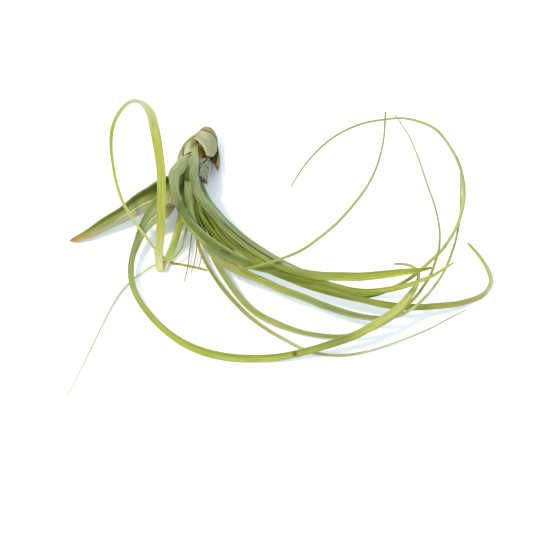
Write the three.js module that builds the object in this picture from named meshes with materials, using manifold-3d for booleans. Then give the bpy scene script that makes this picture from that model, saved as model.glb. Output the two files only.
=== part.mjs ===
import * as THREE from "three";
import { mergeVertices } from "three/addons/utils/BufferGeometryUtils.js";
import Module from "manifold-3d";

// An air plant lying loose on a flat surface: a bulb of overlapping sheaths and a long trail of
// channelled strap leaves that arch, loop and taper to dry tips. Millimetres, +Z up, the surface at z = 0.

const wasm = await Module();
wasm.setup();

// The leaf rows below are laid out on a sheet that faces an observer above the front of the plant.
const observerElevation = THREE.MathUtils.degToRad(55); // of the line from the plant to the observer
const observerDistance = 1000;
const originAcross = 11; // the middle of the whole plant's footprint
const originDepth = 8;
const surfaceHeight = 0; // the plant lies on this plane and the bulb is flat where it touches it

const bladeThickness = 0.9;
const tipThickness = 0.65;
const tipLength = 0.2; // share of a leaf's length over which its blade thins
const rootClearance = 0.4; // between a leaf and the socket that it grows from
const rootRows = 10; // rows of a leaf that can lie against the bulb
const sheathThickness = 0.9;
const stepsPerRow = 2;
const weldDistance = 1e-4;

const leafColours = {
  sage: 0x93a886,
  green: 0x7d9b45,
  lime: 0xa9bf56,
  olive: 0x8f9a4b,
  straw: 0xa89a6c,
};
const sheathColours = { pale: 0xb5b793, tan: 0xa08a66, grey: 0x8f9181 };

// Each row is [across, up the sheet, height above the surface, blade width], from the root to the tip.
const broadLeafRows = [
  [-65, 75, 16.4, 3.5], [-66.5, 69.5, 17.2, 10], [-70.5, 65.5, 17.7, 17], [-76.5, 62, 18.9, 23],
  [-87.5, 55.5, 20.9, 22.6], [-98.5, 51, 17.6, 18.4], [-113.5, 42, 12, 13.1],
  [-129, 33.5, 8.2, 11.4], [-142, 26, 5, 8], [-151.5, 22, 3.2, 5.4], [-157, 20.5, 2.4, 1.3],
];
const longArcLeafRows = [
  [-65, 77, 18.8, 2.6], [-67.5, 70.5, 20.8, 3.8], [-71, 66, 23, 5.4], [-75, 61, 25, 11],
  [-79, 53.5, 25.6, 18], [-85, 46, 25.2, 19], [-92, 39, 20.5, 12.6], [-98, 30.5, 15.4, 8.4],
  [-103, 19, 12.2, 6], [-106.5, 9, 10.4, 5], [-108, -1.5, 9.2, 4.8], [-107, -13.5, 7.8, 4.8],
  [-102.5, -25, 6.6, 4.5], [-95, -36, 5.4, 4.7], [-84, -48, 4.2, 4.8], [-68, -60, 3, 5.5],
  [-50, -68, 2.2, 6], [-29.5, -72.5, 1.9, 6], [-8, -73.5, 2.3, 5.7], [9.5, -72.5, 4, 5.6],
  [25.5, -69.5, 6.4, 5.6], [44, -64.5, 10.6, 5.6], [62, -58.5, 15.4, 6.2],
  [76.5, -52.5, 19.4, 6.2], [88, -45.5, 22.6, 6.2], [100.5, -37.5, 25, 6.2],
  [109.5, -29.5, 26.8, 6], [116, -21.5, 28, 5], [120, -15, 28.6, 3.8], [122, -9, 29, 2.8],
  [121, -3.5, 29.2, 2.2], [116, 0.5, 29.6, 2.3], [109, 2, 30.2, 1.9], [102, 2, 30.8, 1.3],
];
const loopLeafRows = [
  [-62.5, 75, 14, 3.6], [-63, 68.5, 14.4, 4.4], [-64, 60.5, 14.5, 5.2], [-65.5, 51, 13.6, 5.8],
  [-67.5, 41, 12.4, 6], [-70, 30.5, 10.8, 6], [-73, 20.5, 8.8, 6], [-76.5, 11, 6.4, 5.8],
  [-80, 3, 3.8, 5.6], [-82.5, -3, 2.5, 5.4], [-84.5, -3, 3.6, 5.6], [-85.5, 2.5, 8.4, 6],
  [-86, 10.5, 14.6, 6.7], [-85, 21, 24.4, 6.7], [-84, 35, 37, 7], [-83.5, 50.5, 49.6, 7],
  [-83.5, 63, 60, 7], [-84, 77, 69, 7], [-85.5, 89, 76, 7.2], [-87.5, 102, 82, 7.6],
  [-89.5, 112, 86, 7.6], [-92, 121.5, 89, 7.1], [-96.5, 128.5, 90.5, 5], [-102, 132, 90.5, 3.2],
  [-108, 132, 89.5, 3.1], [-113.5, 128, 86.5, 3.1], [-119, 120.5, 81, 3.1], [-123, 110, 73.5, 3],
  [-124, 96, 63, 2.7], [-122.5, 82.5, 53, 2.4], [-119.5, 66.5, 42, 2.5], [-114, 50.5, 32.5, 2.4],
  [-108, 40.5, 26.8, 2.3], [-102, 31.5, 22.4, 2.2], [-94.5, 22, 16.6, 2.2], [-88, 13, 9.6, 2],
  [-81.5, 6.5, 3, 1.9], [-75, 3, 0.8, 1.7], [-67, 1.5, 0.8, 1.7], [-57.5, -0.5, 0.8, 1.5],
  [-47, -3, 0.8, 1.1],
];
const trailingStrandRows = [
  [-63.5, 76, 11.4, 1.8], [-63, 66.5, 11, 1.8], [-62, 56, 11.2, 1.8], [-62, 45, 11.4, 1.6],
  [-63, 33, 11.4, 1.6], [-65, 24, 11.2, 1.5], [-67.5, 15, 11, 1.4], [-72, 9, 10.4, 1.4],
  [-77, 5.5, 9, 1.3], [-82, 3.5, 5.4, 1.3], [-91.5, 0, 2.6, 1.4], [-98.5, -4.5, 1.8, 1.2],
  [-109.5, -13, 1.4, 1.3], [-117.5, -22.5, 1.3, 1.3], [-125.5, -36, 1.5, 1.2],
  [-132.5, -50, 2, 1.2], [-140, -66, 2.6, 1.2], [-148, -82, 2.8, 0.9], [-155, -96, 2.2, 0.8],
  [-160, -105, 1.4, 0.7],
];
const shoulderLeafRows = [
  [-62, 95, 16.6, 5.6], [-64, 89, 19, 8.2], [-66.5, 83, 21.2, 10], [-69.5, 78, 23.8, 10.8],
  [-73, 73.5, 27, 10], [-73.5, 66, 30, 7.8], [-72.5, 59, 31.6, 6.6], [-70, 51.5, 32.2, 6.6],
  [-67, 44, 33, 7], [-61.5, 35, 34, 7.6], [-54.5, 27.5, 34.4, 8.4], [-45.5, 19.5, 34.6, 9],
  [-33.5, 11.5, 34.4, 8.8], [-21, 5, 33.8, 8], [-8, 0.5, 33, 7], [5, -3, 32.2, 6],
  [17.5, -7, 31.4, 5.2], [30.5, -10, 30.8, 4.8], [43.5, -12.5, 30.6, 4.6], [57, -16, 31, 4.4],
  [69.5, -19, 32, 4.2], [83, -20, 34, 4.3], [97.5, -18.5, 36.2, 4.5], [112, -15.5, 38.2, 3.7],
  [123, -11.5, 39.6, 3], [133, -7.5, 40.8, 2.5], [142, -2, 42, 2], [150, 3, 43, 1.3],
];
const centreLeafRows = [
  [-60.5, 78, 19, 3.4], [-62, 69.5, 23.4, 5.4], [-62, 61, 26, 6.4], [-60.5, 50.5, 27.6, 7],
  [-57.5, 40, 28.2, 7], [-53, 29, 27.8, 6.6], [-48, 18.5, 26.4, 6.4], [-41, 9, 24.6, 6.4],
  [-31, 1, 22.4, 6.4], [-17, -5.5, 20.4, 6.2], [-1.5, -12, 18.6, 5.8], [13, -18.5, 17.2, 5.8],
  [28.5, -24, 16.2, 5.4], [48.5, -32, 15.4, 5.4], [71.5, -39, 15.2, 4.9], [89.5, -41.5, 16, 4],
  [105, -39.5, 17.8, 2.8], [115, -35, 19.6, 2.4], [123, -29, 21.6, 2.2], [130.5, -21.5, 24.4, 2],
  [136.5, -13.5, 27.6, 2.1], [142, -5, 31, 2], [146.5, 5, 34.6, 2], [150.5, 16.5, 38.4, 1.9],
  [153.5, 29, 41.6, 1.6], [155.5, 42.5, 44.6, 1.7], [156, 56, 47.2, 1.7], [156, 69.5, 49.4, 1.7],
  [155.5, 79, 50.6, 1.5], [153, 88, 51.4, 1.1],
];
const lowBendLeafRows = [
  [-60.5, 75, 17.6, 3.4], [-59.5, 67, 20.4, 4.4], [-57.5, 57.5, 23.6, 5.6], [-53, 47, 25.6, 6.4],
  [-46.5, 36, 27, 6.8], [-38.5, 24.5, 28, 6.8], [-28, 14.5, 28.2, 6.4], [-14.5, 5.5, 27.6, 6],
  [1, -2, 26.6, 5.6], [17, -9, 25.6, 5.2], [32, -15, 25, 4.8], [48, -20, 24.6, 4.6],
  [64, -24, 24.2, 4.6], [78.5, -27, 23.6, 4.6], [92.5, -30, 21.4, 5.3], [108, -32, 18, 5.2],
  [123, -32.5, 14.2, 4.8], [138.5, -31.5, 10.2, 4.8], [152, -30, 6.6, 4.6], [163.5, -27, 2.8, 4],
  [172, -23.5, 1.2, 4], [177.5, -18, 2.2, 3.2], [180, -11.5, 5.2, 3.3], [178, -4, 8.6, 3.1],
  [174, 3.5, 12.4, 2.7], [169, 10.5, 15.8, 2.4], [164.5, 15.5, 18.4, 2], [161.5, 19, 20.2, 1.3],
];
const highLoopLeafRows = [
  [-57, 75, 15.6, 3], [-56, 65, 17, 4], [-53.5, 55, 18.6, 5.2], [-49, 45.5, 20.2, 6.2],
  [-42.5, 35.5, 21.4, 6.8], [-33.5, 25.5, 22.2, 6.8], [-22.5, 15.5, 22.6, 6.4], [-9, 7, 22.6, 5.8],
  [7, -1, 22, 5], [25, -8.5, 21, 4.6], [41.5, -15, 20.2, 4.2], [57, -20, 19.6, 4],
  [69.5, -23, 19.8, 3.8], [80, -23.5, 21.2, 3.6], [90, -21.5, 24, 3.4], [100.5, -17.5, 27.4, 3.2],
  [112, -11.5, 30.6, 2.9], [121.5, -4.5, 32.8, 2.7], [131, 4, 35, 2.6], [140.5, 13, 37.6, 2.6],
  [147, 22, 40.6, 2.6], [152.5, 32, 44.8, 2.5], [156.5, 44, 50, 2.7], [158.5, 57.5, 55.4, 2.6],
  [157.5, 70, 59.8, 2.6], [155, 80.5, 63, 2.3], [150, 91, 65.8, 2.2], [143.5, 101, 68.2, 2.2],
  [136.5, 109, 70, 2.3], [126.5, 114.5, 71, 2.2], [110.5, 118.5, 70.6, 1.9],
  [94.5, 117.5, 68.6, 1.7], [76, 114, 64.6, 1.7], [56.5, 105, 59, 1.7], [42, 93.5, 53, 1.6],
  [29.5, 79, 46.6, 1.3], [20, 64, 41, 1.1],
];
const upperLeafRows = [
  [-56, 100, 18, 4.8], [-57, 93, 21.4, 6.2], [-57, 83, 25, 7.6], [-57.5, 73, 28.4, 8.2],
  [-55.5, 62.5, 31.4, 8], [-51.5, 54, 33.4, 7.8], [-41.5, 43, 35.4, 7], [-31, 31.5, 36.6, 7],
  [-16.5, 19, 37.6, 7], [1, 7.5, 38.2, 6.5], [15.5, -0.5, 38.2, 6.2], [29.5, -5, 38, 6.2],
  [45, -7.5, 37.8, 6.5], [61, -8, 38, 6.9], [77, -8, 38.6, 6.5], [93, -6.5, 39.6, 6.1],
  [109.5, -4.5, 41, 5.2], [121.5, -3, 42.2, 3.7], [132.5, -1, 43.2, 1.5],
];
const backLeafRows = [
  [-55.5, 80, 18.6, 3.4], [-53.5, 71, 22.4, 4.6], [-51, 62, 25.6, 5.6], [-46.5, 52, 28.2, 6.4],
  [-39, 42, 30, 6.8], [-29, 31.5, 31.2, 6.8], [-16.5, 21, 31.8, 6.4], [-2.5, 12, 32, 5.8],
  [10.5, 4.5, 31.8, 5], [23.5, -1.5, 31.2, 4], [37.5, -6.5, 30.4, 2.8], [51, -9.5, 29.8, 1],
];
const rightSweepLeafRows = [
  [-57, 75.5, 11, 3], [-57, 67, 11.2, 3.4], [-57, 57, 12.4, 3.8], [-55, 46.5, 12.8, 4.2],
  [-51.5, 33.5, 12.6, 4.4], [-47, 20, 11.8, 4.6], [-41.5, 7, 10.6, 4.8], [-35, -4.5, 9, 4.8],
  [-27, -16.5, 7.2, 4.8], [-17.5, -28.5, 5.6, 4.8], [-7, -37.5, 4.6, 4.8], [7.5, -45, 3.8, 4.8],
  [27, -52, 3.6, 3.7], [43, -55, 4.4, 3.5], [57.5, -56, 6, 3.3], [71.5, -54.5, 8.6, 3.3],
  [84, -50.5, 12.4, 3.2], [96, -44.5, 17, 2.8], [105.5, -38, 21.4, 2.6], [113, -31, 23.6, 2.4],
  [120.5, -23.5, 25.8, 2.3], [126.5, -15, 28.6, 2.2], [131.5, -7, 32.6, 2.1], [135, 2.5, 38.4, 2],
  [138, 12, 44, 1.9], [139, 21.5, 47.4, 1.8], [138.5, 32.5, 49.8, 1.6], [135, 48.5, 53, 1.4],
  [129, 65.5, 56, 1.5], [122, 86, 59, 1.5], [114.5, 104, 61.4, 1.3], [103, 121.5, 63.6, 0.9],
];
const lowerThinLeafRows = [
  [-60.5, 74.5, 10.4, 1.8], [-60.5, 63.5, 9.2, 1.9], [-60, 51, 8.4, 2], [-58.5, 37.5, 8.6, 2.2],
  [-55.5, 23, 8.4, 2.4], [-50.5, 8, 7.2, 2.5], [-42.5, -6.5, 5.6, 2.5], [-31, -22, 3.4, 3],
  [-15.5, -38, 1.9, 2.9], [0.5, -50, 1.5, 2.8], [16, -59, 1.4, 2.8], [29, -65.5, 1.3, 2.5],
  [41.5, -69.5, 1.3, 2.1], [56, -71, 1.3, 2], [70.5, -70, 1.4, 2], [85.5, -66.5, 1.8, 1.6],
  [107, -59.5, 2.6, 1.3], [130.5, -50, 3.8, 1.2], [146.5, -41.5, 4.8, 1.1],
  [160.5, -34.5, 5.6, 0.8],
];
const highStrandRows = [
  [-59.5, 72, 12.6, 1.5], [-57.5, 59, 15.4, 1.7], [-53, 44, 17, 1.9], [-46.5, 29.5, 17.8, 2],
  [-40, 18, 19.8, 2], [-33, 9, 23.6, 2], [-27, 3, 27.2, 2], [-21, -1, 30.2, 2],
  [-14.5, -1.5, 34.4, 2], [-7, 0.5, 39, 2], [8.5, 5, 43.6, 2], [27.5, 12.5, 47, 2.4],
  [40, 21, 49.2, 2.2], [56, 34, 52, 2.3], [70, 49.5, 54.8, 2.1], [82, 66, 57.4, 1.8],
  [90, 84, 59.6, 1.6], [94, 101, 61, 1.4], [95, 112, 61.6, 1.4], [95.5, 123.5, 62, 1.4],
];
const dryStrandARows = [
  [-59, 77.5, 9, 1.2], [-59, 65.5, 7.4, 1.2], [-58.5, 53, 6.4, 1.2], [-58.5, 38.5, 5.8, 1.2],
  [-59.5, 25.5, 5, 1.1], [-61, 13, 4, 1], [-62.5, 0, 2.8, 0.9], [-65.5, -12, 1, 0.7],
];
const dryStrandBRows = [
  [-58.5, 38.5, 5.8, 1.2], [-56.5, 27, 5, 1.1], [-55.5, 16, 4.2, 1], [-57, 5, 3.2, 0.9],
  [-60, -5, 1.8, 0.7],
];
const dryStrandCRows = [
  [-56.5, 27, 5, 1.1], [-53, 16, 4.2, 1], [-52, 6.5, 3.4, 0.9], [-54, -1.5, 2.6, 0.7],
];

// across is the number of points across one face and steps the number of cross-sections between rows.
// cup is the depth of the channel as a share of the width, below zero where the back of the leaf faces
// the observer. turns are [row, degrees] of the blade about its own line.
const leaves = [
  {
    name: "broad_leaf",
    rows: broadLeafRows,
    colour: "green",
    across: 5,
    cup: 0.2,
    steps: 3,
    turns: [[0, 0]],
  },
  { name: "long_arc_leaf", rows: longArcLeafRows, colour: "lime", across: 3, cup: 0.12, turns: [[0, 0]] },
  {
    name: "loop_leaf",
    rows: loopLeafRows,
    colour: "lime",
    across: 3,
    cup: -0.1,
    turns: [[8, 0], [9, 60], [10, 140], [11, 180]],
  },
  { name: "trailing_strand", rows: trailingStrandRows, colour: "olive", across: 3, cup: 0, turns: [[0, 0]] },
  {
    name: "shoulder_leaf",
    rows: shoulderLeafRows,
    colour: "sage",
    across: 5,
    cup: -0.14,
    turns: [[0, 40], [2, 30], [6, 0]],
  },
  { name: "centre_leaf", rows: centreLeafRows, colour: "green", across: 3, cup: 0.15, turns: [[0, 0]] },
  { name: "low_bend_leaf", rows: lowBendLeafRows, colour: "green", across: 3, cup: 0.15, turns: [[0, 0]] },
  { name: "high_loop_leaf", rows: highLoopLeafRows, colour: "olive", across: 3, cup: 0.15, turns: [[0, 0]] },
  { name: "upper_leaf", rows: upperLeafRows, colour: "sage", across: 5, cup: -0.14, turns: [[0, 0]] },
  { name: "back_leaf", rows: backLeafRows, colour: "sage", across: 3, cup: -0.12, turns: [[0, 0]] },
  {
    name: "right_sweep_leaf",
    rows: rightSweepLeafRows,
    colour: "green",
    across: 3,
    cup: 0.12,
    turns: [[0, 0]],
  },
  { name: "lower_thin_leaf", rows: lowerThinLeafRows, colour: "lime", across: 3, cup: 0.1, turns: [[0, 0]] },
  { name: "high_strand", rows: highStrandRows, colour: "olive", across: 3, cup: 0, turns: [[0, 0]] },
];

// Rows of the bulb's own line: [across, up, height, radius], from the dry base to the neck.
const bulbRows = [
  [-45.8, 109.6, 9.6, 2.2],
  [-46.6, 107.8, 9.6, 4.6],
  [-48.4, 104.2, 9.7, 8],
  [-50, 99.8, 9.8, 10],
  [-52.2, 93.6, 10.3, 10.8],
  [-54.4, 85.6, 13, 10.8],
  [-55.9, 78, 16, 10],
  [-57, 71.2, 18.4, 9.6],
  [-58, 65, 20.2, 8],
];
const bulbSides = 24;
const bulbSteps = 16; // along its length, two to a row

const observerPlace = new THREE.Vector3(
  0,
  -observerDistance * Math.cos(observerElevation),
  observerDistance * Math.sin(observerElevation),
);
const towardsObserver = observerPlace.clone().normalize();

// The point on the line of sight through (across, up) on the sheet that lies at the given height.
function place(across, up, height) {
  const onSheet = new THREE.Vector3(
    across,
    up * Math.sin(observerElevation),
    up * Math.cos(observerElevation),
  );
  const share = (height - observerPlace.z) / (onSheet.z - observerPlace.z);
  return observerPlace.clone().lerp(onSheet, share);
}

// A smooth line through the rows, with its direction, facing and size at any row number.
function lineThrough(rows) {
  const points = rows.map(([across, up, height]) => place(across, up, height));
  const curve = new THREE.CatmullRomCurve3(points, false, "centripetal");
  const last = rows.length - 1;
  return {
    last,
    at(row) {
      const share = THREE.MathUtils.clamp(row / last, 0, 1);
      const point = curve.getPoint(share);
      const along = curve.getTangent(share);
      const facing = towardsObserver.clone().addScaledVector(along, -towardsObserver.dot(along)).normalize();
      const side = along.clone().cross(facing);
      const before = Math.min(Math.floor(row), last - 1);
      const size = THREE.MathUtils.lerp(rows[before][3], rows[before + 1][3], row - before);
      return { point, along, facing, side, size };
    },
  };
}

// The turn at a row number, straight between the [row, degrees] entries.
function turnAt(turns, row) {
  const next = turns.findIndex(([at]) => at >= row);
  if (next === 0) return THREE.MathUtils.degToRad(turns[0][1]);
  if (next < 0) return THREE.MathUtils.degToRad(turns[turns.length - 1][1]);
  const [rowBefore, turnBefore] = turns[next - 1];
  const [rowAfter, turnAfter] = turns[next];
  const share = (row - rowBefore) / (rowAfter - rowBefore);
  return THREE.MathUtils.degToRad(THREE.MathUtils.lerp(turnBefore, turnAfter, share));
}

function geometryFrom(points, triangles) {
  const geometry = new THREE.BufferGeometry();
  geometry.setAttribute("position", new THREE.Float32BufferAttribute(points.flatMap((p) => p.toArray()), 3));
  geometry.setIndex(triangles.flat());
  return geometry;
}

// A channelled blade, closed all round, with both faces split along the same diagonals. margin swells it.
function bladeGeometry(leaf, margin = 0, rowsUsed = leaf.rows.length - 1) {
  const line = lineThrough(leaf.rows);
  const steps = rowsUsed * (leaf.steps ?? stepsPerRow);
  const across = leaf.across;
  const ring = 2 * across;
  const points = [];
  for (let step = 0; step <= steps; step += 1) {
    const row = (rowsUsed * step) / steps;
    const { point, along, facing, side, size } = line.at(row);
    const turn = turnAt(leaf.turns, row);
    side.applyAxisAngle(along, turn);
    facing.applyAxisAngle(along, turn);
    const toTip = THREE.MathUtils.clamp((1 - row / line.last) / tipLength, 0, 1);
    const thickness = THREE.MathUtils.lerp(tipThickness, bladeThickness, toTip) + 2 * margin;
    const centre = point.clone();
    if (step === 0) centre.addScaledVector(along, -margin);
    for (const face of [0.5, -0.5]) {
      for (let index = 0; index < across; index += 1) {
        const share = (2 * index) / (across - 1) - 1;
        const rise = leaf.cup * size * (share * share - 0.5) + face * thickness;
        points.push(
          centre
            .clone()
            .addScaledVector(side, share * (size / 2 + margin))
            .addScaledVector(facing, rise),
        );
      }
    }
  }
  const front = (step, index) => step * ring + index;
  const back = (step, index) => step * ring + across + index;
  const triangles = [];
  for (let step = 0; step < steps; step += 1) {
    const next = step + 1;
    for (let index = 0; index < across - 1; index += 1) {
      triangles.push([front(step, index), front(step, index + 1), front(next, index + 1)]);
      triangles.push([front(step, index), front(next, index + 1), front(next, index)]);
      triangles.push([back(step, index), back(next, index + 1), back(step, index + 1)]);
      triangles.push([back(step, index), back(next, index), back(next, index + 1)]);
    }
    const right = across - 1;
    triangles.push([front(step, 0), front(next, 0), back(next, 0)]);
    triangles.push([front(step, 0), back(next, 0), back(step, 0)]);
    triangles.push([front(step, right), back(step, right), back(next, right)]);
    triangles.push([front(step, right), back(next, right), front(next, right)]);
  }
  for (let index = 0; index < across - 1; index += 1) {
    triangles.push([front(0, index), back(0, index), back(0, index + 1)]);
    triangles.push([front(0, index), back(0, index + 1), front(0, index + 1)]);
    triangles.push([front(steps, index), front(steps, index + 1), back(steps, index + 1)]);
    triangles.push([front(steps, index), back(steps, index + 1), back(steps, index)]);
  }
  return geometryFrom(points, triangles);
}

const bulbLine = lineThrough(bulbRows);

// A point on the bulb: share runs from the base (0) to the neck (1), angle from the face towards the
// observer, positive to the observer's right, and lift stands off the surface.
function onBulb(share, angle, lift) {
  const { point, facing, side, size } = bulbLine.at(share * bulbLine.last);
  const radians = THREE.MathUtils.degToRad(angle);
  return point
    .clone()
    .addScaledVector(facing, (size + lift) * Math.cos(radians))
    .addScaledVector(side, -(size + lift) * Math.sin(radians));
}

function bulbGeometry() {
  const points = [];
  for (let step = 0; step <= bulbSteps; step += 1) {
    for (let index = 0; index < bulbSides; index += 1) {
      points.push(onBulb(step / bulbSteps, (360 * index) / bulbSides, 0));
    }
  }
  const baseEnd = points.push(bulbLine.at(0).point) - 1;
  const neckEnd = points.push(bulbLine.at(bulbLine.last).point) - 1;
  const at = (step, index) => step * bulbSides + (index % bulbSides);
  const triangles = [];
  for (let index = 0; index < bulbSides; index += 1) {
    for (let step = 0; step < bulbSteps; step += 1) {
      triangles.push([at(step, index), at(step + 1, index), at(step + 1, index + 1)]);
      triangles.push([at(step, index), at(step + 1, index + 1), at(step, index + 1)]);
    }
    triangles.push([baseEnd, at(0, index), at(0, index + 1)]);
    triangles.push([neckEnd, at(bulbSteps, index + 1), at(bulbSteps, index)]);
  }
  return geometryFrom(points, triangles);
}

// The dry sheaths round the bulb. start and end are shares of the bulb's length, left and right are
// angles. The free lip slants from endLeft to endRight and hangs lower by lobe, at its middle or, with
// a skew above 1, further right. lift is the stand-off at the attached edge, halfway and at the lip, and
// liftRight is the same along the right side where it differs.
const sheaths = [
  {
    name: "front_sheath",
    colour: "pale",
    start: 0.29,
    endLeft: 0.54,
    endRight: 0.5,
    lobe: 0.19,
    skew: 1.6,
    left: -34,
    right: 78,
    lift: [0.5, 1.6, 3.2],
  },
  {
    name: "base_scale",
    colour: "tan",
    start: 0.02,
    endLeft: 0.31,
    endRight: 0.31,
    lobe: 0,
    left: -28,
    right: 100,
    lift: [0.7, 1.8, 2.4],
    liftRight: [0.7, 3, 3.6],
  },
  {
    name: "right_sheath",
    colour: "tan",
    start: 0.31,
    endLeft: 0.68,
    endRight: 0.72,
    lobe: 0,
    left: 82,
    right: 104,
    lift: [0.35, 2.6, 4.6],
    liftRight: [0.35, 5.2, 7.4],
  },
  {
    name: "left_sheath",
    colour: "tan",
    start: 0.4,
    endLeft: 0.7,
    endRight: 0.62,
    lobe: 0,
    left: -102,
    right: -60,
    lift: [0.6, 8.8, 5.6],
    liftRight: [0.5, 1.6, 1.8],
  },
  {
    name: "lower_sheath",
    colour: "grey",
    start: 0.62,
    endLeft: 1,
    endRight: 1,
    lobe: 0,
    left: 22,
    right: 80,
    lift: [0.6, 1, 3],
  },
];
const sheathAcross = 9;
const sheathAlong = 8;

function sheathGeometry(sheath) {
  const points = [];
  for (const outward of [sheathThickness, 0]) {
    for (let row = 0; row <= sheathAlong; row += 1) {
      for (let column = 0; column <= sheathAcross; column += 1) {
        const down = row / sheathAlong;
        const sideways = column / sheathAcross;
        const slant = THREE.MathUtils.lerp(sheath.endLeft, sheath.endRight, sideways);
        const end = slant + sheath.lobe * Math.sin(Math.PI * sideways ** (sheath.skew ?? 1));
        const share = THREE.MathUtils.lerp(sheath.start, end, down);
        const angle = THREE.MathUtils.lerp(sheath.left, sheath.right, sideways);
        const liftRight = sheath.liftRight ?? sheath.lift;
        const [attached, middle, lip] = sheath.lift.map((side, index) =>
          THREE.MathUtils.lerp(side, liftRight[index], sideways),
        );
        const bend = 2 * (1 - down) * down;
        const lift = attached * (1 - down) ** 2 + middle * bend + lip * down ** 2;
        points.push(onBulb(share, angle, lift + outward));
      }
    }
  }
  const columns = sheathAcross + 1;
  const layer = columns * (sheathAlong + 1);
  const outer = (row, column) => row * columns + column;
  const inner = (row, column) => layer + outer(row, column);
  const triangles = [];
  for (let row = 0; row < sheathAlong; row += 1) {
    for (let column = 0; column < sheathAcross; column += 1) {
      triangles.push([outer(row, column), outer(row + 1, column + 1), outer(row, column + 1)]);
      triangles.push([outer(row, column), outer(row + 1, column), outer(row + 1, column + 1)]);
      triangles.push([inner(row, column), inner(row, column + 1), inner(row + 1, column + 1)]);
      triangles.push([inner(row, column), inner(row + 1, column + 1), inner(row + 1, column)]);
    }
    triangles.push([outer(row, 0), inner(row, 0), inner(row + 1, 0)]);
    triangles.push([outer(row, 0), inner(row + 1, 0), outer(row + 1, 0)]);
    triangles.push([outer(row, sheathAcross), inner(row + 1, sheathAcross), inner(row, sheathAcross)]);
    triangles.push([outer(row, sheathAcross), outer(row + 1, sheathAcross), inner(row + 1, sheathAcross)]);
  }
  for (let column = 0; column < sheathAcross; column += 1) {
    triangles.push([outer(0, column), outer(0, column + 1), inner(0, column + 1)]);
    triangles.push([outer(0, column), inner(0, column + 1), inner(0, column)]);
    const lip = [outer(sheathAlong, column), inner(sheathAlong, column + 1)];
    triangles.push([...lip, outer(sheathAlong, column + 1)]);
    triangles.push([lip[0], inner(sheathAlong, column), lip[1]]);
  }
  return geometryFrom(points, triangles);
}

function solidFrom(geometry) {
  const merged = mergeVertices(geometry, weldDistance);
  return new wasm.Manifold(
    new wasm.Mesh({
      numProp: 3,
      vertProperties: merged.attributes.position.array,
      triVerts: new Uint32Array(merged.index.array),
    }),
  );
}

function geometryOf(solid) {
  const mesh = solid.getMesh();
  const geometry = new THREE.BufferGeometry();
  geometry.setAttribute("position", new THREE.BufferAttribute(mesh.vertProperties, 3));
  geometry.setIndex(new THREE.BufferAttribute(mesh.triVerts, 1));
  return geometry;
}

function largestPieceOf(solid) {
  return solid.decompose().sort((a, b) => b.volume() - a.volume())[0];
}

const plant = new THREE.Group();
plant.position.set(-originAcross, -originDepth, 0);

function addPiece(name, geometry, colour) {
  const material = new THREE.MeshStandardMaterial({ color: colour, roughness: 0.6, metalness: 0 });
  const mesh = new THREE.Mesh(geometry, material);
  mesh.name = name;
  plant.add(mesh);
}

const strandRows = [dryStrandARows, dryStrandBRows, dryStrandCRows];
const strands = strandRows.map((rows) => ({ rows, across: 3, cup: 0, steps: 1, turns: [[0, 0]] }));

// Sockets for the leaves are cut from whatever they grow out of.
const sockets = [...leaves, ...strands].map((leaf) =>
  solidFrom(bladeGeometry(leaf, rootClearance, Math.min(rootRows, leaf.rows.length - 1))),
);

function cutSockets(solid) {
  return sockets.reduce((left, socket) => left.subtract(socket), solid);
}

for (const leaf of leaves) {
  addPiece(leaf.name, bladeGeometry(leaf), leafColours[leaf.colour]);
}

const strandSolids = strands.map((strand) => solidFrom(bladeGeometry(strand)));
addPiece("dry_strands", geometryOf(strandSolids.reduce((a, b) => a.add(b))), leafColours.straw);

const bulb = solidFrom(bulbGeometry()).trimByPlane([0, 0, 1], surfaceHeight);
addPiece("bulb", geometryOf(largestPieceOf(cutSockets(bulb))), sheathColours.pale);

for (const sheath of sheaths) {
  const solid = cutSockets(solidFrom(sheathGeometry(sheath)));
  addPiece(sheath.name, geometryOf(largestPieceOf(solid)), sheathColours[sheath.colour]);
}

export default plant;
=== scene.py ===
import math
import random

import bpy
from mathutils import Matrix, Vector, noise
from mathutils.bvhtree import BVHTree


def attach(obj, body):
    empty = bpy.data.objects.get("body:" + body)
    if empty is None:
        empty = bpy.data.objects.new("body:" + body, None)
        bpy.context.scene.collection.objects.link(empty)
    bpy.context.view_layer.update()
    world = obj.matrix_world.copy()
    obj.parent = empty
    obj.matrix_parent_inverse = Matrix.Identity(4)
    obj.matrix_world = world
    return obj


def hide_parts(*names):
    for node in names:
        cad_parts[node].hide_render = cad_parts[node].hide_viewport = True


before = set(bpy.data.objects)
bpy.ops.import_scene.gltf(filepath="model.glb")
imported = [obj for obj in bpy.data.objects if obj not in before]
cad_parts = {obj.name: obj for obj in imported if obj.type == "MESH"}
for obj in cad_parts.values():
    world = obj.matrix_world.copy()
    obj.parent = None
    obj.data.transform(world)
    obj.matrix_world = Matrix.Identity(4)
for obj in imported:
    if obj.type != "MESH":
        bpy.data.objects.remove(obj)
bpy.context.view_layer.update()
print("stage: frame loaded")

mm = 0.001

# Rows and sizes below are in mm. Rows lie on a sheet that faces an observer above the front of the plant.
observer = {
    "elevation": math.radians(55),
    "distance": 1000,  # from the middle of the sheet
    "originAcross": 11,  # the middle of the plant's footprint, on the sheet
    "originDepth": 8,
}
observerPlace = Vector((
    0,
    -observer["distance"] * math.cos(observer["elevation"]),
    observer["distance"] * math.sin(observer["elevation"]),
))
towardsObserver = observerPlace.normalized()
toFrame = Vector((-observer["originAcross"], -observer["originDepth"], 0))


def place(across, up, height):  # where the sight line through the sheet meets the height
    onSheet = Vector((across, up * math.sin(observer["elevation"]), up * math.cos(observer["elevation"])))
    share = (height - observerPlace.z) / (onSheet.z - observerPlace.z)
    return observerPlace.lerp(onSheet, share)


def lerp(a, b, share):
    return a + (b - a) * share


def clamp(value, low=0.0, high=1.0):
    return max(low, min(high, value))


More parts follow.
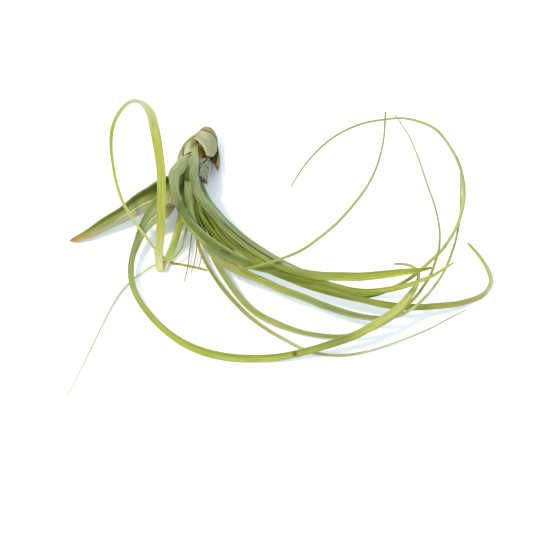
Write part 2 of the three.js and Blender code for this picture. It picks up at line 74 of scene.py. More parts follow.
def along(table, row):  # a table of [row, value] read at any row, straight between its entries
    if row <= table[0][0]:
        return table[0][1]
    for (rowBefore, valueBefore), (rowAfter, valueAfter) in zip(table, table[1:]):
        if row <= rowAfter:
            return lerp(valueBefore, valueAfter, (row - rowBefore) / (rowAfter - rowBefore))
    return table[-1][1]


class Line:  # a smooth line through rows of [across, up, height, size]
    def __init__(self, rows):
        self.points = [place(across, up, height) for across, up, height, size in rows]
        self.sizes = [row[3] for row in rows]
        self.last = len(rows) - 1

    def point(self, row):
        row = clamp(row, 0, self.last)
        before = min(int(row), self.last - 1)
        share = row - before
        p1, p2 = self.points[before], self.points[before + 1]
        p0 = self.points[before - 1] if before > 0 else p1 * 2 - p2
        p3 = self.points[before + 2] if before + 2 <= self.last else p2 * 2 - p1
        d0, d1, d2 = ((b - a).length ** 0.5 for a, b in ((p0, p1), (p1, p2), (p2, p3)))
        leave = ((p1 - p0) / d0 - (p2 - p0) / (d0 + d1) + (p2 - p1) / d1) * d1
        arrive = ((p2 - p1) / d1 - (p3 - p1) / (d1 + d2) + (p3 - p2) / d2) * d1
        square = (p2 - p1) * 3 - leave * 2 - arrive
        cube = (p1 - p2) * 2 + leave + arrive
        return p1 + leave * share + square * share ** 2 + cube * share ** 3

    def at(self, row):  # point, tangent, direction to the observer, direction across, size
        nudge = 0.01  # rows to either side, for the tangent
        tangent = (self.point(row + nudge) - self.point(row - nudge)).normalized()
        facing = (towardsObserver - tangent * towardsObserver.dot(tangent)).normalized()
        before = min(int(clamp(row, 0, self.last)), self.last - 1)
        size = lerp(self.sizes[before], self.sizes[before + 1], row - before)
        return self.point(row), tangent, facing, tangent.cross(facing), size


class Wire:  # one socket of a material, with arithmetic
    def __init__(self, tree, socket=None):
        self.tree = tree
        self.socket = socket

    def node(self, kind, settings=None, sockets=None, output=0):
        made = self.tree.nodes.new(kind)
        for name, value in (settings or {}).items():
            if name == "stops":
                fillRamp(made.color_ramp, value)
            else:
                setattr(made, name, value)
        for key, value in (sockets or {}).items():
            if isinstance(value, Wire):
                self.tree.links.new(value.socket, made.inputs[key])
            else:
                made.inputs[key].default_value = value
        return Wire(self.tree, made.outputs[output])

    def maths(self, operation, first, second):
        return self.node("ShaderNodeMath", {"operation": operation}, {0: first, 1: second})

    def __add__(self, other):
        return self.maths("ADD", self, other)

    def __sub__(self, other):
        return self.maths("SUBTRACT", self, other)

    def __rsub__(self, other):
        return self.maths("SUBTRACT", other, self)

    def __mul__(self, other):
        return self.maths("MULTIPLY", self, other)

    def __truediv__(self, other):
        return self.maths("DIVIDE", self, other)

    def __rtruediv__(self, other):
        return self.maths("DIVIDE", other, self)

    def __abs__(self):
        return self.maths("ABSOLUTE", self, 0)

    __radd__ = __add__
    __rmul__ = __mul__

    def rise(self, low, high):  # 0 at low and 1 at high, smooth between; low may be the larger
        smooth = {"interpolation_type": "SMOOTHSTEP"}
        return self.node("ShaderNodeMapRange", smooth, {0: self, 1: low, 2: high})

    def ramp(self, stops):
        return self.node("ShaderNodeValToRGB", {"stops": stops}, {0: self})

    def mix(self, share, other, how="MIX"):  # this colour, with a share of the other one
        settings = {"data_type": "RGBA", "blend_type": how}
        return self.node("ShaderNodeMix", settings, {0: share, 6: self, 7: other}, 2)  # its colour sockets

    def attribute(self, name):
        return self.node("ShaderNodeAttribute", {"attribute_name": name}, output="Fac")

    def grain(self, vector, scale, detail):
        return self.node("ShaderNodeTexNoise", None, {"Vector": vector, "Scale": scale, "Detail": detail})

    def strands(self, across, down, layer, scale):  # grain drawn out down a piece
        vector = self.node("ShaderNodeCombineXYZ", None, {0: across, 1: down, 2: layer})
        return self.grain(vector, scale, 3.0)

    def feed(self, shader, name):
        self.tree.links.new(self.socket, shader.inputs[name])


def fillRamp(ramp, stops):
    while len(ramp.elements) > 1:
        ramp.elements.remove(ramp.elements[-1])
    for index, (position, shade) in enumerate(stops):
        stop = ramp.elements[0] if index == 0 else ramp.elements.new(position)
        stop.position = position
        stop.color = shade


def colour(code, gain=1.0):  # a web colour as linear light
    parts = [int(code[at:at + 2], 16) / 255 for at in (0, 2, 4)]
    linear = [part / 12.92 if part <= 0.04045 else ((part + 0.055) / 1.055) ** 2.4 for part in parts]
    return (*[part * gain for part in linear], 1)


def fillInputs(node, plain):
    for label, value in plain.items():
        node.inputs[label].default_value = value


def newMaterial(name, plain):  # a material, its shader with these plain values, and a wire to start from
    material = bpy.data.materials.new(name)
    material.use_nodes = True
    shader = material.node_tree.nodes["Principled BSDF"]
    fillInputs(shader, plain)
    return material, shader, Wire(material.node_tree)


def surface(shader, look, base, rough, relief):
    height = {"Strength": look["bumpStrength"], "Distance": look["bumpDistance"], "Height": relief}
    base.feed(shader, "Base Color")
    rough.feed(shader, "Roughness")
    relief.node("ShaderNodeBump", None, height).feed(shader, "Normal")


def streak(down, across, first, final, near, far, width):  # 1 on a slanting line, 0 from width beside it
    travel = (down - first) / (final - first)
    aside = abs(across - (travel * (far - near) + near))
    return aside.rise(width, width * 0.4) * (travel.rise(-0.1, 0.1) * travel.rise(1.1, 0.9))


def addObject(name, data):
    made = bpy.data.objects.new(name, data)
    bpy.context.collection.objects.link(made)
    return made


def carried(piece, node):  # every piece rides on the plant and stands for one node
    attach(piece, "root")
    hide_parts(node)


def note(values, *numbers):  # one float for the newest point under each name
    for label, number in zip(values, numbers):
        values[label].append(number)


def sleeve(faces, loop, steps, first=0):  # quads from ring to ring of points, and a cap on each end
    ring = len(loop)
    for step in range(steps):
        here, there = first + step * ring, first + (step + 1) * ring
        for a, b in zip(loop, loop[1:] + loop[:1]):
            faces.append((here + a, here + b, there + b, there + a))
    faces.append([first + steps * ring + a for a in loop])
    faces.append([first + a for a in loop[::-1]])


def addPiece(look, points, faces, values, material):
    mesh = bpy.data.meshes.new(look["piece"])
    mesh.from_pydata([tuple((point + toFrame) * mm) for point in points], [], faces)
    for label, numbers in values.items():
        mesh.attributes.new(label, "FLOAT", "POINT").data.foreach_set("value", numbers)
    mesh.shade_smooth()
    mesh.materials.append(material)
    piece = addObject(look["piece"], mesh)
    carried(piece, look["node"])
    return piece


leafLook = {
    "stepsPerRow": 6,
    "thickness": 0.9,  # in the middle of the blade
    "tipThickness": 0.6,
    "marginThickness": 0.34,
    "tipLength": 0.2,  # share of a leaf's length over which its blade thins
    "wave": 0.02,  # how far a margin wanders, as a share of the width
    "waveRates": (1.9, 4.3),  # radians a row
    "calmRows": 3,  # at the base, before the margins wander fully
    "gain": 0.7,  # of the palette's colours, for the strength of the light
    "mottleScale": 160.0,
    "speckleScale": 2600.0,
    "veinScale": 1.6,
    "veinStretch": 0.6,  # a row's part of the vein pattern; the lower, the longer the veins
    "wander": 0.03,  # how far the mottle shifts the bands of colour, as a share of the length
    "rightBand": (0.15, 0.6),  # places across, between which that side's own colours take over
    "leftBand": (-0.15, -0.6),
    "margin": ("limePale", 0.3),
    "marginBand": (0.8, 1.0),  # and between which the margin's does
    "bloom": [(0, 0.04)],
    "bloomGrain": (0.45, 0.62),  # of the speckle, where the scurf lies
    "darkVeins": (0.42, 0.7, 0.25),  # of the vein's grain, from and to, and strength
    "lightVeins": (0.5, 0.3, 0.5),
    "lightTint": (1.4, 1.36, 1.5, 1),
    "roughness": 0.6,
    "roughSpread": 0.2,
    "bumpStrength": 0.35,
    "bumpDistance": 0.0002,  # metres
    "plain": {
        "Specular IOR Level": 0.03,
        "Subsurface Weight": 0.12,
        "Subsurface Radius": (0.5, 1.0, 0.15),
        "Subsurface Scale": 0.0012,
    },
}

palette = {
    "ink": "2a3604", "channel": "3e4b09", "forest": "4e5d16", "moss": "607022",
    "mossGrey": "637141", "mossLight": "798328", "leafGreen": "7f893f", "sageDark": "808c58",
    "olive": "8d9445", "sage": "8e9969", "oliveYellow": "959c34", "fresh": "959f54",
    "leafBright": "9aa146", "yellowGreen": "a8ad45", "softGreen": "a2a75c", "greyGreen": "a1a774",
    "lime": "b0b552", "limeGrey": "b1b672", "limeLight": "bcc063", "sageLight": "acb18b",
    # the glow colour is painted light, over-bright for leaf parts that lie in shade
    "limePale": "c6c97a", "scurf": "bdc59c", "limeBright": "c9ce56", "glow": "dcec66",
    "pale": "d8dd92", "cream": "f2eeb4", "straw": "ada56a", "rust": "a87a48",
    "brown": "6f5230", "tan": "b7a27a", "clay": "b6925c", "ash": "a6a288",
    "leek": "93ad6c", "pine": "3c560a", "black": "141c04", "vividDark": "55790f",
}


def tone(name):
    return colour(palette[name], leafLook["gain"])


def leafMaterial(leaf, line, seed):
    look = leafLook
    material, shader, start = newMaterial(leaf["piece"], look["plain"])
    row, across, back = [start.attribute(name) for name in ("row", "across", "back")]
    spot = start.node("ShaderNodeTexCoord", output="Object")
    mottle = start.grain(spot, look["mottleScale"], 4.0)
    speckle = start.grain(spot, look["speckleScale"], 2.0)
    vein = start.strands(across * leaf["veins"], row * look["veinStretch"], back * 5 + seed, look["veinScale"])
    share = row / line.last + (mottle - 0.5) * look["wander"]

    def ramp(stops):
        return share.ramp([(at / line.last, tone(name)) for at, name in stops])

    base = ramp(leaf["front"])
    for side in ("right", "left"):
        if side in leaf:
            band = leaf.get(side + "Band", look[side + "Band"])
            base = base.mix(across.rise(*band), ramp(leaf[side]))
    base = base.mix(back, ramp(leaf.get("rear", leaf["front"])))
    marginName, marginStrength = leaf.get("margin", look["margin"])
    base = base.mix(abs(across).rise(*look["marginBand"]) * marginStrength, tone(marginName))
    for *route, strength, name in leaf.get("stripes", []):
        base = base.mix(streak(row, across, *route) * (1 - back) * strength, tone(name))
    for band, tint in (("darkVeins", tone("channel")), ("lightVeins", look["lightTint"])):
        low, high, strength = look[band]
        base = base.mix(vein.rise(low, high) * strength, tint, "MULTIPLY")
    bloomStops = [(at / line.last, (value, value, value, 1)) for at, value in leaf.get("bloom", look["bloom"])]
    base = base.mix(speckle.rise(*look["bloomGrain"]) * share.ramp(bloomStops), tone("scurf"))
    for at, sideways, radius, strength, name in leaf.get("spots", []):
        point, tangent, facing, side, size = line.at(at)
        centre = (point + side * (sideways * size / 2) + toFrame) * mm
        distance = start.node("ShaderNodeVectorMath", {"operation": "DISTANCE"}, {0: spot, 1: centre}, "Value")
        ragged = distance + (mottle - 0.5) * radius * mm
        base = base.mix(ragged.rise(radius * mm, radius * mm * 0.5) * strength, tone(name))
    rough = look["roughness"] + (mottle - 0.5) * look["roughSpread"]
    surface(shader, look, base, rough, vein * 0.7 + speckle * 0.3)
    return material


def leafPiece(leaf, seed):
    look, line, count = leafLook, Line(leaf["rows"]), leaf.get("across", 9)
    draw = random.Random(seed)
    phases = [draw.uniform(0, 6.28) for _ in range(2)]  # of the waves at the two margins
    steps = line.last * look["stepsPerRow"]
    points, faces = [], []
    values = {"row": [], "across": [], "back": []}
    for step in range(steps + 1):
        row = line.last * step / steps
        point, tangent, facing, side, size = line.at(row)
        turn = math.radians(along(leaf.get("turns", [[0, 0]]), row))
        side, facing = [
            way * math.cos(turn) + tangent.cross(way) * math.sin(turn) for way in (side, facing)
        ]
        toTip = clamp((1 - row / line.last) / look["tipLength"])
        middle = lerp(look["tipThickness"], look["thickness"], toTip)
        margin = min(middle, look["marginThickness"])
        flare = along(leaf.get("flares", [[0, 0]]), row)
        for face in (0.5, -0.5):
            for index in range(count):
                share = 2 * index / (count - 1) - 1  # -1 at one margin, 1 at the other
                thickness = lerp(middle, margin, abs(share) ** 3)
                phase = phases[0] if share > 0 else phases[1]
                slow, quick = look["waveRates"]
                wave = math.sin(row * slow + phase) + 0.6 * math.sin(row * quick + phase * 2)
                bend = leaf["cup"] * (share * share - 0.5)
                bend += look["wave"] * wave * share * share * min(1, row / look["calmRows"])
                half = size / 2 * (1 + (flare if share > 0 else 0))
                points.append(point + side * (share * half) + facing * (bend * size + face * thickness))
                note(values, row, share, 0.5 - face)
    sleeve(faces, [*range(count), *range(2 * count - 1, count - 1, -1)], steps)  # across the front, then back
    return addPiece(leaf, points, faces, values, leafMaterial(leaf, line, seed))


# front, rear: (row, colour) along each face, from the base at row 0 to the tip
# right, left: those of the front's sides, which lie at 1 and -1 across it, seen from the base
# stripes: (first row, final row, place across at each, half width, strength, colour); some are painted shade of
# dark gaps and lines, some painted highlights
# spots: (row, place across, radius, strength, colour); bloom: (row, strength of the pale scurf)
# cup: how far the margins stand towards the observer, as a share of the width; veins: how many across
# turns: [row, degrees] of twist; flares: [row, share] by which one margin spreads
broadLeaf = {
    "piece": "broadLeaf", "node": "broad_leaf", "slot": "leaf_green",
    "rows": [
        [-65, 75, 16.4, 3.5], [-66.5, 69.5, 17.2, 10], [-70.5, 65.5, 17.7, 17], [-76.5, 62, 18.9, 23],
        [-87.5, 55.5, 20.9, 22.6], [-98.5, 51, 17.6, 18.4], [-113.5, 42, 12, 13.1], [-129, 33.5, 8.2, 11.4],
        [-142, 26, 5, 8], [-151.5, 22, 3.2, 5.4], [-157, 20.5, 2.4, 1.3],
    ],
    "across": 15, "cup": 0.2, "veins": 14,
    # the moss at the base is painted shade under shoulderLeaf; the dark greens of the right side are painted
    # shade on the upper wall of its channel
    "front": [
        (1, "moss"), (2, "limeBright"), (3, "mossLight"), (4, "leafGreen"), (5, "softGreen"), (7, "fresh"),
        (7.8, "softGreen"), (8.5, "clay"), (10, "rust"),
    ],
    "rightBand": (0.25, 0.6),
    "right": [
        (3, "channel"), (4, "forest"), (6, "moss"), (7.5, "mossLight"), (8.6, "oliveYellow"), (9.2, "rust"),
    ],
    "leftBand": (-0.18, -0.3),
    "left": [(0, "moss"), (4, "greyGreen"), (5, "ash"), (7, "ash"), (8.6, "tan"), (9.3, "clay")],
    "rear": [(0, "sage"), (6, "scurf"), (9, "rust")],
    "margin": ("cream", 0.5),
    "bloom": [(0, 0.3), (3, 0.1), (10, 0.05)],
    "stripes": [(4.2, 6.4, -0.1, -0.16, 0.06, 0.8, "cream"), (5, 7.6, -0.5, -0.5, 0.1, 0.4, "scurf")],
}

longArcLeaf = {
    "piece": "longArcLeaf", "node": "long_arc_leaf", "slot": "leaf_lime",
    "rows": [
        [-65, 77, 18.8, 2.6], [-67.5, 70.5, 20.8, 3.8], [-71, 66, 23, 5.4], [-75, 61, 25, 11],
        [-79, 53.5, 25.6, 18], [-85, 46, 25.2, 19], [-92, 39, 20.5, 12.6], [-98, 30.5, 15.4, 8.4],
        [-103, 19, 12.2, 6], [-106.5, 9, 10.4, 5], [-108, -1.5, 9.2, 4.8], [-107, -13.5, 7.8, 4.8],
        [-102.5, -25, 6.6, 4.5], [-95, -36, 5.4, 4.7], [-84, -48, 4.2, 4.8], [-68, -60, 3, 5.5],
        [-50, -68, 2.2, 6], [-29.5, -72.5, 1.9, 6], [-8, -73.5, 2.3, 5.7], [9.5, -72.5, 4, 5.6],
        [25.5, -69.5, 6.4, 5.6], [44, -64.5, 10.6, 5.6], [62, -58.5, 15.4, 6.2], [76.5, -52.5, 19.4, 6.2],
        [88, -45.5, 22.6, 6.2], [100.5, -37.5, 25, 6.2], [109.5, -29.5, 26.8, 6], [116, -21.5, 28, 5],
        [120, -15, 28.6, 3.8], [122, -9, 29, 2.8], [121, -3.5, 29.2, 2.2], [116, 0.5, 29.6, 2.3],
        [109, 2, 30.2, 1.9], [102, 2, 30.8, 1.3],
    ],
    "cup": 0.12, "veins": 6,
    "front": [
        (1, "softGreen"), (2, "moss"), (3, "leafBright"), (4, "limeGrey"), (5, "fresh"), (6, "greyGreen"),
        (8, "sage"), (15, "yellowGreen"), (19, "lime"), (22, "olive"), (24, "limeLight"), (28, "limePale"),
        (29, "cream"), (33, "leafBright"),
    ],
    "bloom": [(0, 0.5), (6, 0.15), (33, 0.05)],
    "spots": [(19.85, 0, 2.4, 0.85, "brown")],
    "rightBand": (0.3, 0.8),
    "right": [
        (0, "sage"), (2.6, "forest"), (3.6, "mossLight"), (4.4, "leafGreen"), (7, "leafGreen"), (10, "fresh"),
        (13, "oliveYellow"), (15, "yellowGreen"), (19, "lime"), (22, "olive"), (24, "limeLight"), (33, "straw"),
    ],
    "leftBand": (-0.1, -0.3),
    "left": [
        (0, "sage"), (2.5, "moss"), (3.4, "tan"), (4.1, "ash"), (4.4, "brown"), (4.9, "sageDark"), (5.4, "ash"),
        (6, "greyGreen"), (7.4, "greyGreen"), (8.2, "leafGreen"), (10, "fresh"), (15, "leafBright"),
        (22, "olive"), (24, "limeLight"), (33, "straw"),
    ],
    "stripes": [(4.8, 6.9, -0.02, 0.02, 0.07, 0.7, "moss"), (5, 6.6, -0.2, -0.2, 0.08, 0.8, "pale")],
}

loopLeaf = {
    "piece": "loopLeaf", "node": "loop_leaf", "slot": "leaf_lime",
    "rows": [
        [-62.5, 75, 14, 3.6], [-63, 68.5, 14.4, 4.4], [-64, 60.5, 14.5, 5.2], [-65.5, 51, 13.6, 5.8],
        [-67.5, 41, 12.4, 6], [-70, 30.5, 10.8, 6], [-73, 20.5, 8.8, 6], [-76.5, 11, 6.4, 5.8],
        [-80, 3, 3.8, 5.6], [-82.5, -3, 2.5, 5.4], [-84.5, -3, 3.6, 5.6], [-85.5, 2.5, 8.4, 6],
        [-86, 10.5, 14.6, 6.7], [-85, 21, 24.4, 6.7], [-84, 35, 37, 7], [-83.5, 50.5, 49.6, 7],
        [-83.5, 63, 60, 7], [-84, 77, 69, 7], [-85.5, 89, 76, 7.2], [-87.5, 102, 82, 7.6],
        [-89.5, 112, 86, 7.6], [-92, 121.5, 89, 7.1], [-96.5, 128.5, 90.5, 5], [-102, 132, 90.5, 3.2],
        [-108, 132, 89.5, 3.1], [-113.5, 128, 86.5, 3.1], [-119, 120.5, 81, 3.1], [-123, 110, 73.5, 3],
        [-124, 96, 63, 2.7], [-122.5, 82.5, 53, 2.4], [-119.5, 66.5, 42, 2.5], [-114, 50.5, 32.5, 2.4],
        [-108, 40.5, 26.8, 2.3], [-102, 31.5, 22.4, 2.2], [-94.5, 22, 16.6, 2.2], [-88, 13, 9.6, 2],
        [-81.5, 6.5, 3, 1.9], [-75, 3, 0.8, 1.7], [-67, 1.5, 0.8, 1.7], [-57.5, -0.5, 0.8, 1.5],
        [-47, -3, 0.8, 1.1],
    ],
    "cup": -0.1, "turns": [[8, 0], [9, 60], [10, 140], [11, 180]], "veins": 6,
    # the glow and cream stops are painted light, brightening the first leg and the fold, which the loop's
    # rising part shades
    "front": [
        (2, "yellowGreen"), (5, "lime"), (7, "glow"), (8, "cream"), (14, "lime"), (19, "lime"), (23, "scurf"),
        (27, "yellowGreen"), (35, "limePale"), (37, "oliveYellow"), (38, "yellowGreen"), (40, "oliveYellow"),
    ],
    "bloom": [(0, 0.2), (12, 0.05)],
    "right": [
        (2, "glow"), (5, "lime"), (8, "cream"), (11, "limePale"), (16, "softGreen"), (18, "limeGrey"),
        (24, "sageLight"), (27, "oliveYellow"), (29, "limeLight"), (39, "softGreen"),
    ],
}

trailingStrand = {
    "piece": "trailingStrand", "node": "trailing_strand", "slot": "leaf_olive",
    "rows": [
        [-63.5, 76, 11.4, 1.8], [-63, 66.5, 11, 1.8], [-62, 56, 11.2, 1.8], [-62, 45, 11.4, 1.6],
        [-63, 33, 11.4, 1.6], [-65, 24, 11.2, 1.5], [-67.5, 15, 11, 1.4], [-72, 9, 10.4, 1.4],
        [-77, 5.5, 9, 1.3], [-82, 3.5, 5.4, 1.3], [-91.5, 0, 2.6, 1.4], [-98.5, -4.5, 1.8, 1.2],
        [-109.5, -13, 1.4, 1.3], [-117.5, -22.5, 1.3, 1.3], [-125.5, -36, 1.5, 1.2], [-132.5, -50, 2, 1.2],
        [-140, -66, 2.6, 1.2], [-148, -82, 2.8, 0.9], [-155, -96, 2.2, 0.8], [-160, -105, 1.4, 0.7],
    ],
    "across": 5, "cup": 0, "veins": 2,
    "front": [(5, "lime"), (10, "limeLight"), (11, "pale"), (13, "scurf"), (16, "scurf")],
}

shoulderLeaf = {
    "piece": "shoulderLeaf", "node": "shoulder_leaf", "slot": "leaf_sage",
    "rows": [
        [-62, 95, 16.6, 5.6], [-64, 89, 19, 8.2], [-66.5, 83, 21.2, 10], [-69.5, 78, 23.8, 10.8],
        [-73, 73.5, 27, 10], [-73.5, 66, 30, 7.8], [-72.5, 59, 31.6, 6.6], [-70, 51.5, 32.2, 6.6],
        [-67, 44, 33, 7], [-61.5, 35, 34, 7.6], [-54.5, 27.5, 34.4, 8.4], [-45.5, 19.5, 34.6, 9],
        [-33.5, 11.5, 34.4, 8.8], [-21, 5, 33.8, 8], [-8, 0.5, 33, 7], [5, -3, 32.2, 6], [17.5, -7, 31.4, 5.2],
        [30.5, -10, 30.8, 4.8], [43.5, -12.5, 30.6, 4.6], [57, -16, 31, 4.4], [69.5, -19, 32, 4.2],
        [83, -20, 34, 4.3], [97.5, -18.5, 36.2, 4.5], [112, -15.5, 38.2, 3.7], [123, -11.5, 39.6, 3],
        [133, -7.5, 40.8, 2.5], [142, -2, 42, 2], [150, 3, 43, 1.3],
    ],
    "across": 13, "cup": -0.14, "turns": [[0, 40], [2, 30], [6, 0]], "veins": 8,
    "flares": [[0, 0.3], [1, 0.7], [2, 0.6], [3, 0.3], [4.5, 0]],
    "front": [
        (0, "pale"), (1, "greyGreen"), (2, "sage"), (4, "sage"), (8, "moss"), (12, "moss"), (16, "mossLight"),
        (17, "oliveYellow"), (19, "olive"), (21, "oliveYellow"), (22, "lime"), (27, "lime"),
    ],
    "right": [
        (1, "sageLight"), (7, "mossLight"), (12, "mossGrey"), (13, "olive"), (16, "moss"), (22, "oliveYellow"),
        (23, "limeLight"), (27, "lime"),
    ],
    "left": [
        (0, "sageDark"), (6, "sage"), (8, "mossGrey"), (15, "leafGreen"), (16, "mossLight"), (18, "limeLight"),
        (20, "mossLight"), (26, "limeLight"),
    ],
    "rear": [(0, "channel"), (12, "moss"), (27, "rust")],
    "bloom": [(0, 0.6), (6, 0.4), (12, 0.15), (27, 0)],
    "stripes": [
        (7, 9, -0.95, -0.95, 0.1, 0.7, "forest"), (8.8, 13.4, -0.8, -0.85, 0.14, 0.6, "sageLight"),
        (8.4, 11, 0.7, 0.75, 0.3, 0.8, "leafBright"), (9.4, 10.8, 0.5, 0.55, 0.06, 0.6, "pale"),
        # the moss stripes from row 7.6 on are painted shade on its shaded lower margin
        (11, 13, 0.8, 0.8, 0.3, 0.8, "sageDark"), (7.6, 9, 0.75, 0.15, 0.25, 0.85, "moss"),
        (9, 11, 0.15, 0, 0.32, 0.9, "moss"), (11, 13.6, 0, -0.3, 0.34, 0.85, "moss"),
        (11.8, 12.4, -0.1, -0.2, 0.3, 0.9, "pine"),
    ],
}

centreLeaf = {
    "piece": "centreLeaf", "node": "centre_leaf", "slot": "leaf_green",
    "rows": [
        [-60.5, 78, 19, 3.4], [-62, 69.5, 23.4, 5.4], [-62, 61, 26, 6.4], [-60.5, 50.5, 27.6, 7],
        [-57.5, 40, 28.2, 7], [-53, 29, 27.8, 6.6], [-48, 18.5, 26.4, 6.4], [-41, 9, 24.6, 6.4],
        [-31, 1, 22.4, 6.4], [-17, -5.5, 20.4, 6.2], [-1.5, -12, 18.6, 5.8], [13, -18.5, 17.2, 5.8],
        [28.5, -24, 16.2, 5.4], [48.5, -32, 15.4, 5.4], [71.5, -39, 15.2, 4.9], [89.5, -41.5, 16, 4],
        [105, -39.5, 17.8, 2.8], [115, -35, 19.6, 2.4], [123, -29, 21.6, 2.2], [130.5, -21.5, 24.4, 2],
        [136.5, -13.5, 27.6, 2.1], [142, -5, 31, 2], [146.5, 5, 34.6, 2], [150.5, 16.5, 38.4, 1.9],
        [153.5, 29, 41.6, 1.6], [155.5, 42.5, 44.6, 1.7], [156, 56, 47.2, 1.7], [156, 69.5, 49.4, 1.7],
        [155.5, 79, 50.6, 1.5], [153, 88, 51.4, 1.1],
    ],
    "cup": 0.15, "veins": 6,
    "front": [
        (1, "leek"), (3, "limeGrey"), (4, "sageDark"), (5, "moss"), (7, "greyGreen"), (9, "lime"),
        (14, "sageDark"), (15, "straw"), (16, "pale"), (18, "sageLight"), (25, "straw"), (27, "scurf"),
    ],
    "right": [
        (1, "leek"), (3, "olive"), (10, "limeGrey"), (13, "fresh"), (16, "scurf"), (18, "limeGrey"),
        (20, "cream"), (23, "leafGreen"), (27, "pale"),
    ],
    "left": [
        (1, "pale"), (4, "forest"), (8, "softGreen"), (9, "limeBright"), (10, "yellowGreen"), (15, "sage"),
        (17, "limeBright"), (19, "straw"), (27, "softGreen"),
    ],
    "stripes": [(3, 5, -0.7, -0.5, 0.35, 0.85, "pine"), (1.6, 4.4, 0.2, 0.1, 0.4, 0.5, "leek")],
}

lowBendLeaf = {
    "piece": "lowBendLeaf", "node": "low_bend_leaf", "slot": "leaf_green",
    "rows": [
        [-60.5, 75, 17.6, 3.4], [-59.5, 67, 20.4, 4.4], [-57.5, 57.5, 23.6, 5.6], [-53, 47, 25.6, 6.4],
        [-46.5, 36, 27, 6.8], [-38.5, 24.5, 28, 6.8], [-28, 14.5, 28.2, 6.4], [-14.5, 5.5, 27.6, 6],
        [1, -2, 26.6, 5.6], [17, -9, 25.6, 5.2], [32, -15, 25, 4.8], [48, -20, 24.6, 4.6], [64, -24, 24.2, 4.6],
        [78.5, -27, 23.6, 4.6], [92.5, -30, 21.4, 5.3], [108, -32, 18, 5.2], [123, -32.5, 14.2, 4.8],
        [138.5, -31.5, 10.2, 4.8], [152, -30, 6.6, 4.6], [163.5, -27, 2.8, 4], [172, -23.5, 1.2, 4],
        [177.5, -18, 2.2, 3.2], [180, -11.5, 5.2, 3.3], [178, -4, 8.6, 3.1], [174, 3.5, 12.4, 2.7],
        [169, 10.5, 15.8, 2.4], [164.5, 15.5, 18.4, 2], [161.5, 19, 20.2, 1.3],
    ],
    "cup": 0.15, "veins": 6,
    "front": [
        (2, "leafBright"), (3, "fresh"), (4, "moss"), (5, "mossLight"), (6, "moss"), (7, "lime"),
        (11, "mossLight"), (12, "leafGreen"), (15, "lime"), (16, "leafBright"), (20, "straw"), (21, "scurf"),
        (25, "lime"), (27, "limeGrey"),
    ],
    "left": [
        (3, "channel"), (4, "mossLight"), (8, "fresh"), (16, "leafBright"), (21, "limeGrey"), (26, "lime"),
    ],
    "stripes": [
        (3, 4.3, 0.7, 0.2, 0.18, 0.85, "leafBright"), (4.3, 5.7, 0.16, 0.2, 0.15, 0.8, "leafBright"),
        # the ink stripe is painted shade of a dark line along it; the cream stripe from row 6.2 is a painted
        # highlight
        (3.9, 6, 0.7, 0.65, 0.3, 0.75, "vividDark"), (3.3, 4.6, -0.2, -0.25, 0.25, 0.95, "ink"),
        (4.8, 6.4, -0.12, 0.1, 0.16, 0.8, "pine"), (6.2, 7.2, -0.2, -0.2, 0.1, 0.8, "cream"),
    ],
}

highLoopLeaf = {
    "piece": "highLoopLeaf", "node": "high_loop_leaf", "slot": "leaf_olive",
    "rows": [
        [-57, 75, 15.6, 3], [-56, 65, 17, 4], [-53.5, 55, 18.6, 5.2], [-49, 45.5, 20.2, 6.2],
        [-42.5, 35.5, 21.4, 6.8], [-33.5, 25.5, 22.2, 6.8], [-22.5, 15.5, 22.6, 6.4], [-9, 7, 22.6, 5.8],
        [7, -1, 22, 5], [25, -8.5, 21, 4.6], [41.5, -15, 20.2, 4.2], [57, -20, 19.6, 4], [69.5, -23, 19.8, 3.8],
        [80, -23.5, 21.2, 3.6], [90, -21.5, 24, 3.4], [100.5, -17.5, 27.4, 3.2], [112, -11.5, 30.6, 2.9],
        [121.5, -4.5, 32.8, 2.7], [131, 4, 35, 2.6], [140.5, 13, 37.6, 2.6], [147, 22, 40.6, 2.6],
        [152.5, 32, 44.8, 2.5], [156.5, 44, 50, 2.7], [158.5, 57.5, 55.4, 2.6], [157.5, 70, 59.8, 2.6],
        [155, 80.5, 63, 2.3], [150, 91, 65.8, 2.2], [143.5, 101, 68.2, 2.2], [136.5, 109, 70, 2.3],
        [126.5, 114.5, 71, 2.2], [110.5, 118.5, 70.6, 1.9], [94.5, 117.5, 68.6, 1.7], [76, 114, 64.6, 1.7],
        [56.5, 105, 59, 1.7], [42, 93.5, 53, 1.6], [29.5, 79, 46.6, 1.3], [20, 64, 41, 1.1],
    ],
    "cup": 0.15, "veins": 5,
    # the glow stops from row 8 to 12 are painted light, brightening the leaf where it lies low in the shade of
    # the leaves above it
    "front": [
        (3, "lime"), (4, "limeLight"), (6, "leafGreen"), (7, "leafBright"), (8, "glow"), (12, "glow"),
        (14, "oliveYellow"), (16, "leafBright"), (17, "limePale"), (19, "limeGrey"), (23, "limePale"),
        (24, "straw"), (30, "limeGrey"), (31, "fresh"), (33, "straw"), (36, "straw"),
    ],
    "right": [
        (6, "olive"), (14, "mossLight"), (21, "limeLight"), (22, "fresh"), (25, "softGreen"), (33, "softGreen"),
    ],
    "left": [
        (4, "lime"), (6, "moss"), (8, "limeBright"), (13, "limeBright"), (23, "scurf"), (25, "softGreen"),
        (26, "scurf"), (34, "fresh"), (36, "softGreen"),
    ],
}

